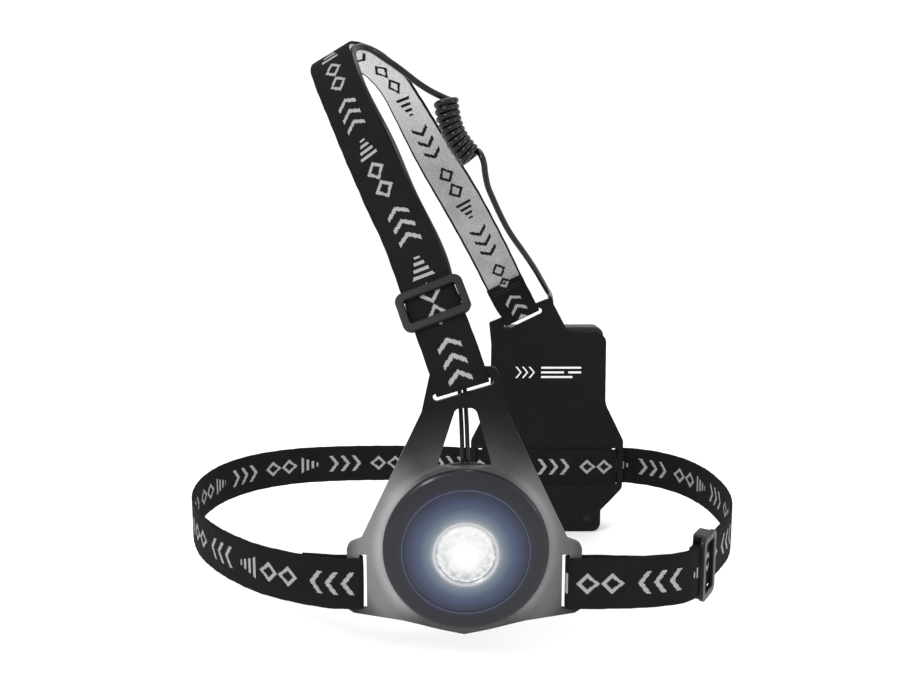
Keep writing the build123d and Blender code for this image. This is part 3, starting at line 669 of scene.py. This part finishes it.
REAR_ROUTE = [
    (0.0142, 0.0218, 0.2100),
    (0.0158, 0.0208, 0.2056),
    (0.0164, 0.0228, 0.1998),
    (0.0182, 0.0282, 0.1920),
    (0.0210, 0.0326, 0.1862),
    (0.0258, 0.0386, 0.1762),
    (0.0328, 0.0470, 0.1638),
    (0.0422, 0.0568, 0.1518),
    (0.0508, 0.0678, 0.1402),
    (0.0574, 0.0798, 0.1298),
    (0.0618, 0.0912, 0.1232),
    (0.0644, 0.1010, 0.1200),
    (0.0662, 0.1074, 0.1140),
    (0.0665, 0.1094, 0.1070),
    (0.0665, 0.1095, 0.1015),
]
CORD_THICK = 0.0038
LEAD_THICK = 0.0022


def coil_points():
    """The curly stretch: a helix round a bent axis, its turns a little uneven in width."""
    count = round(COIL_TURNS * COIL_PER_TURN)
    out = []
    for k in range(1, count + 1):
        share = k / count
        axis = COIL_HEAD * (1 - share) ** 2 + COIL_BEND * (2 * share * (1 - share)) + COIL_FOOT * share**2
        along = (COIL_BEND - COIL_HEAD) * (1 - share) + (COIL_FOOT - COIL_BEND) * share
        first = along.cross(Vector((0, 1, 0))).normalized()
        second = along.cross(first).normalized()
        angle = 2 * pi * COIL_TURNS * share - pi / 2
        radius = COIL_RADIUS * (1 + 0.03 * sin(9 * share) + 0.015 * sin(31 * share))
        out.append(tuple(axis + (first * cos(angle) + second * sin(angle)) * radius))
    return out


LEADS_X = (0.0021, 0.0047)
for side, gland_x in zip(("left", "right"), LEADS_X):
    points = [(x + gland_x, y, z) for x, y, z in LEAD_ROUTE]
    lead = curve_piece(f"lead_{side}_wire", points, LEAD_THICK / 2, CORD_PVC)
    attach(lead, "harness")
    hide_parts(f"lamp_lead_{side}")

cord_points = FRONT_ROUTE + coil_points() + REAR_ROUTE
curly = curve_piece("curly_cord", cord_points, CORD_THICK / 2, CORD_PVC)
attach(curly, "harness")
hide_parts("cord_front", "cord_coil", "cord_rear")
pack_boot()


# ---------------------------------------------------------------- webbing routes, in millimetres
PLATE_MID, OUT_Y, IN_Y = -108.6, -111.0, -106.2
PACK_FRONT, PACK_MID, PACK_BACK = 98.0, 99.3, 100.6
BAND_BACK_Z = -2.6  # the band sits a little lower at the wearer's back
TOP_TILT, TAB_TILT, SLIDER_TILT = 17.0, 26.0, 18.0  # degrees above level, across the webbing
TOP_SLOT, TAB_SLOT = (2.3, 95.2), (45.8, 103.2)  # the slanted slots' middles, x and z


def tilted(at, tilt, up, y):
    """A point up millimetres from a slanted slot's middle, square to the slot."""
    return (at[0] - up * sin(radians(tilt)), y, at[1] + up * cos(radians(tilt)))


def top_point(up, y):
    return tilted(TOP_SLOT, TOP_TILT, up, y)


def tab_point(up, y):
    return tilted(TAB_SLOT, TAB_TILT, up, y)


STRAP_FOOT = Vector(top_point(14.5, OUT_Y - 0.5))
STRAP_KNEE = Vector((-25.7, -74.8, 168.4))
BAND_FOOT = Vector((115.5, -102.0, 0))
BAND_KNEE = Vector((150.5, -46.0, 0))
LEFT_SLOT, RIGHT_SLOT = -46.5, 52.5
WING_LEFT, WING_RIGHT = 14.9, 113.1
STRAP_SLIDER_AT, BAND_SLIDER_AT = 30.5, 18.0  # from each foot, along the webbing


def straight_stretch(foot, knee, across):
    """Gives points along a straight stretch of webbing, and behind it, in its slider's terms."""
    up = (knee - foot).normalized()
    across = (across - up * up.dot(across)).normalized()
    outward = across.cross(up)
    return lambda along, behind: tuple(foot + up * along - outward * behind)


SLIDER_ACROSS = Vector((cos(radians(SLIDER_TILT)), 0, sin(radians(SLIDER_TILT))))
strap_point = straight_stretch(STRAP_FOOT, STRAP_KNEE, SLIDER_ACROSS)
band_point = straight_stretch(BAND_FOOT, BAND_KNEE, Vector((0, 0, -1)))


def loop_route(point, at):
    """Round the slider's middle bar and back, with the end pressed flat against the layer above."""
    return [
        point(at + 2.7, 1.55),
        point(at + 2.7, 5.2),
        point(at - 1.8, 5.2),
        point(at - 6.5, 3.1),
        point(at - 14.0, 3.0),
    ]


STRAP_ROUTE = [
    top_point(0.7, PLATE_MID),
    top_point(0.7, OUT_Y - 0.5),
    tuple(STRAP_FOOT),
    tuple(STRAP_KNEE),
    (-37.4, -60.8, 188.6),
    (-47.4, -47.6, 208.6),
    (-57.2, -32.0, 229.4),
    (-66.6, -15.4, 249.4),
    (-72.0, -1.0, 262.6),
    (-70.4, 11.4, 267.4),
    (-61.6, 24.0, 267.8),
    (-49.6, 34.2, 264.4),
    (-38.6, 41.8, 254.0),
    (-28.4, 48.4, 236.6),
    (-15.0, 56.6, 212.4),
    (2.6, 66.4, 184.4),
    (21.8, 80.8, 149.6),
    (32.4, 91.8, 128.4),
    tab_point(9.6, PACK_BACK + 1.1),
    tab_point(0.8, PACK_BACK + 1.1),
    tab_point(0.8, PACK_MID),
]
STRAP_FOLD = [
    tab_point(0.8, PACK_FRONT - 1.1),
    tab_point(9.0, PACK_FRONT - 1.1),
    (37.4, 95.4, 117.4),
    (31.8, 89.6, 128.6),
]
# The strap twists as it goes over the shoulder: (share of its length, degrees).
STRAP_YAWS = [(0, 0), (0.2, 0), (0.27, -20), (0.38, -22), (0.46, -16), (0.56, -58), (0.62, -46), (0.8, 0),
              (1, 0)]
STRAP_RETURN = [
    top_point(0.7, PLATE_MID),
    top_point(0.7, IN_Y),
    top_point(12.4, IN_Y),
    strap_point(9.0, 1.6),
    *loop_route(strap_point, STRAP_SLIDER_AT),
]
BAND_ROUTE = [
    (LEFT_SLOT, PLATE_MID, 0),
    (LEFT_SLOT, OUT_Y, 0),
    (-61.0, OUT_Y + 0.1, 0),
    (-80.0, -104.0, 0),
    (-101.0, -92.6, 0),
    (-124.0, -71.4, 0),
    (-143.4, -45.0, 0),
    (-156.8, -12.0, 0),
    (-160.2, 22.0, 0),
    (-155.0, 53.0, -0.4),
    (-139.6, 80.0, -1.2),
    (-114.0, 97.6, -1.8),
    (-82.0, 105.0, -2.2),
    (-44.0, 107.4, -2.5),
    (-10.0, 105.4, BAND_BACK_Z),
    (6.0, PACK_BACK + 1.2, BAND_BACK_Z),
    (WING_LEFT, PACK_BACK + 1.0, BAND_BACK_Z),
    (WING_LEFT, PACK_FRONT - 0.95, BAND_BACK_Z),
    (WING_RIGHT, PACK_FRONT - 0.95, BAND_BACK_Z),
    (WING_RIGHT, PACK_BACK + 1.0, BAND_BACK_Z),
    (121.5, PACK_BACK + 1.2, BAND_BACK_Z),
    (139.0, 91.4, -2.0),
    (154.0, 70.0, -1.2),
    (161.8, 40.0, -0.4),
    (162.6, 6.0, 0),
    (159.0, -20.0, 0),
    tuple(BAND_KNEE),
    tuple(BAND_FOOT),
    (105.4, -106.6, 0),
    (90.0, -109.8, 0),
    (67.0, OUT_Y, 0),
    (RIGHT_SLOT, OUT_Y + 0.05, 0),
    (RIGHT_SLOT, PLATE_MID, 0),
]
BAND_RETURN_LEFT = [
    (LEFT_SLOT, PLATE_MID, 0),
    (LEFT_SLOT, IN_Y, 0),
    (-60.0, IN_Y + 0.1, 0),
    (-76.0, -103.2, 0),
]
BAND_RETURN_RIGHT = [
    (RIGHT_SLOT, PLATE_MID, 0),
    (RIGHT_SLOT, IN_Y, 0),
    (68.0, IN_Y, 0),
    (89.6, -107.9, 0),
    (104.6, -104.9, 0),
    band_point(0.4, 1.6),
    *loop_route(band_point, BAND_SLIDER_AT),
]


STEP = 1.2 * MM  # between a webbing's sections
BLEND_SHORT_OF = 15.0  # millimetres back from a slider's middle; the points made with it are not used


def web_piece(name, cuts, nodes, inner=WEB_BLACK):
    piece = ribbon(name, cuts, WEB_BLACK, inner)
    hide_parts(*nodes)
    return piece


def web_cuts(route, width_way):
    return sections(spaced(web_line(route), STEP), width_way)


strap_long = line_length(web_line(STRAP_ROUTE))
strap_cuts = web_cuts(STRAP_ROUTE[:-1] + STRAP_FOLD, leaning(TOP_TILT, TAB_TILT, strap_long, STRAP_YAWS))
strap = web_piece("shoulder_strap_web", strap_cuts, ["shoulder_strap", "strap_end_fold"], inner=WEB_GREY)
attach(strap, "harness")

band_cuts = web_cuts(BAND_ROUTE, on_edge)
band = web_piece("chest_band_web", band_cuts, ["chest_band_left", "chest_band_pack", "chest_band_right"])
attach(band, "harness")

left_cuts = web_cuts(BAND_RETURN_LEFT, on_edge)
left_end = web_piece("band_end_left_web", left_cuts, ["band_return_left"])
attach(left_end, "harness")

return_long = line_length(web_line(STRAP_RETURN))
strap_back_cuts = web_cuts(STRAP_RETURN, leaning(TOP_TILT, SLIDER_TILT, return_long))
strap_back = web_piece("strap_return_web", strap_back_cuts, ["strap_return", "strap_loop"])
Vector(strap_point(2.0, 1.6)) * MM
Vector(strap_point(STRAP_SLIDER_AT - BLEND_SHORT_OF, 1.6)) * MM
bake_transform(strap_back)

band_back_cuts = web_cuts(BAND_RETURN_RIGHT, on_edge)
band_back = web_piece("band_return_web", band_back_cuts, ["band_return_right", "band_loop"])
Vector(band_point(BAND_SLIDER_AT - BLEND_SHORT_OF, 1.6)) * MM
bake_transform(band_back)



def two_rows(cuts, apart):
    """Lengths for two rows of stitches, one and two steps back from the webbing's end."""
    end = cuts[-1][0]
    return [end - apart, end - 2 * apart]


sew("strap_fold_stitches", strap_cuts, two_rows(strap_cuts, 3 * MM), -1)
sew("band_end_stitches", left_cuts, two_rows(left_cuts, 3 * MM), 1)
sew("strap_loop_stitches", strap_back_cuts, two_rows(strap_back_cuts, 2.5 * MM), 1, "shoulder_slider")
sew("band_loop_stitches", band_back_cuts, two_rows(band_back_cuts, 2.5 * MM), 1, "band_slider")


MARK_X, MARK_Z = 41.0 * MM, 65.5 * MM  # the mark's left end and middle height
MARK_Y = (PACK_FRONT - 0.06) * MM
MARK_CHEVRONS, CHEVRON_PITCH, CHEVRON_LONG = 3, 4.6 * MM, 3.2 * MM
MARK_BARS = [  # left, right, low and high, in millimetres from the mark's place
    (18, 46, 2.6, 4.0),
    (18, 34, -0.7, 0.7),
    (37, 46, -0.7, 0.7),
    (18, 40, -4.0, -2.6),
]


def pack_mark():
    """A plain printed mark on the pack's face: three chevrons and three rows of bars."""
    x, y, z = MARK_X, MARK_Y, MARK_Z
    stroke, tall, deep = 1.2 * MM, 4.0 * MM, 0.1 * MM
    shapes = []
    for k in range(MARK_CHEVRONS):
        left = x + CHEVRON_PITCH * k
        tip = left + CHEVRON_LONG
        shapes.append([(left, tall), (left + stroke, tall), (tip + stroke, 0), (tip, 0)])
        shapes.append([(left, -tall), (tip, 0), (tip + stroke, 0), (left + stroke, -tall)])
    for left, right, low, high in MARK_BARS:
        corners = ((left, low), (right, low), (right, high), (left, high))
        shapes.append([(x + a * MM, b * MM) for a, b in corners])
    verts, faces = [], []
    for shape in shapes:
        base = len(verts)
        verts += [(a, y, z + b) for a, b in shape] + [(a, y + deep, z + b) for a, b in shape]
        faces.append((base, base + 1, base + 2, base + 3))
        faces.append((base + 7, base + 6, base + 5, base + 4))
        for j in range(4):
            j2 = (j + 1) % 4
            faces.append((base + j, base + j2, base + 4 + j2, base + 4 + j))
    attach(mesh_piece("pack_mark", verts, faces, PRINT), "harness")


pack_mark()


# ---------------------------------------------------------------- CAD nodes that stay
paint("front_frame", frame_painted_light())
# The lamp's light by distance from its middle, as a share of GLOW_RADIUS.
RIM_LIGHT = [
    (0.40, (0.36, 0.385, 0.40)),
    (0.455, (0.168, 0.207, 0.26)),
    (0.514, (0.105, 0.141, 0.20)),
    (0.571, (0.056, 0.083, 0.148)),
    (0.628, (0.042, 0.060, 0.125)),
    (0.686, (0.026, 0.037, 0.080)),
    (0.777, (0.010, 0.010, 0.022)),
    (0.85, (0.004, 0.004, 0.009)),
]
GLOW = lamp_glow("lamp_glow", RIM_LIGHT, strength=1.0, coat=0.2)
paint("lens_window", GLOW)
paint("lamp_bezel", GLOW)
# the gasket's pale bluish grey is a painted highlight: the thin light line at the window's edge
paint("window_gasket", moulded("gasket_painted_highlight", (0.035, 0.042, 0.065), roughness=0.3))
paint("lens_ring", moulded("ring_pale", (0.30, 0.31, 0.33), roughness=0.2, specular=0.7))
paint("tir_lens", lit_lens())
paint("reflector_dish", metal("dish", (0.5, 0.56, 0.7)))
for node in ("pack_plate", "cell_holder"):
    paint(node, PACK_PLASTIC)
for node in ("pack_housing", "battery_door", "lamp_housing"):
    paint(node, HOUSING_LIT_PLASTIC)
for node in ("shoulder_slider", "band_slider"):
    paint(node, SLIDER_PLASTIC)
soften("front_frame", FRAME_EDGE_HIGHLIGHT, 0.35 * MM)
for node in ("pack_plate", "battery_door"):
    soften(node, PACK_EDGE_HIGHLIGHT)
for node in ("pack_seal", "housing_seal", "power_button", "lead_glands", "cord_splitter"):
    paint(node, SOFT_RUBBER)
for node in ("lamp_screws", "contact_springs", "heat_sink"):
    paint(node, STEEL)
paint("pack_screws", DARK_STEEL)
paint("contact_plates", BRASS)
paint("led_board", BOARD)
paint("driver_board", BOARD)
paint("led_emitter", moulded("led_yellow", (0.8, 0.65, 0.2)))
paint("tact_switch", PACK_PLASTIC)
paint("board_components", moulded("component_black", (0.03, 0.03, 0.03)))
for number in (1, 2, 3):
    paint(f"cell_{number}", moulded("cell_wrap", (0.05, 0.06, 0.09), roughness=0.3))


# ---------------------------------------------------------------- floor and light
FLOOR_HALF, FLOOR_GAP = 6, 0.4 * MM
WORLD_STRENGTH = 1.08
LIGHTS = [  # name, place in metres, size in metres, watts
    ("key", (-0.7, -0.9, 0.9), 0.35, 8),
    ("side", (0.95, -0.5, 0.35), 0.35, 3.2),
    ("top", (0.0, 0.1, 1.3), 0.6, 4),
]
LIGHTS_AIM_AT = Vector((0, 0, 0.08))


def make_floor():
    s = Shader("floor_white")
    grit = s.noise(40.0, 4.0)
    s.set(Base_Color=s.mix(grit, (0.94, 0.94, 0.94), (0.97, 0.97, 0.97)), Roughness=0.9)
    s.set(Specular_IOR_Level=0.1)
    z = cad_box[0][2] - FLOOR_GAP
    corners = [(x * FLOOR_HALF, y * FLOOR_HALF, z) for x, y in ((-1, -1), (1, -1), (1, 1), (-1, 1))]
    mesh_piece("floor", corners, [(0, 1, 2, 3)], s.material)


def make_world():
    world = bpy.data.worlds.new("studio")
    bpy.context.scene.world = world
    world.use_nodes = True
    background = world.node_tree.nodes["Background"]
    background.inputs[0].default_value = (1, 1, 1, 1)
    background.inputs[1].default_value = WORLD_STRENGTH
    bpy.context.scene.view_settings.view_transform = "Standard"


def make_light(name, place, size, watts):
    lamp = bpy.data.lights.new(name, "AREA")
    lamp.size = size
    lamp.energy = watts
    light = bpy.data.objects.new(name, lamp)
    light.location = place
    aim = LIGHTS_AIM_AT - Vector(place)
    light.rotation_euler = aim.to_track_quat("-Z", "Y").to_euler()
    bpy.context.collection.objects.link(light)


make_floor()
make_world()
for name, place, size, watts in LIGHTS:
    make_light(name, place, size, watts)
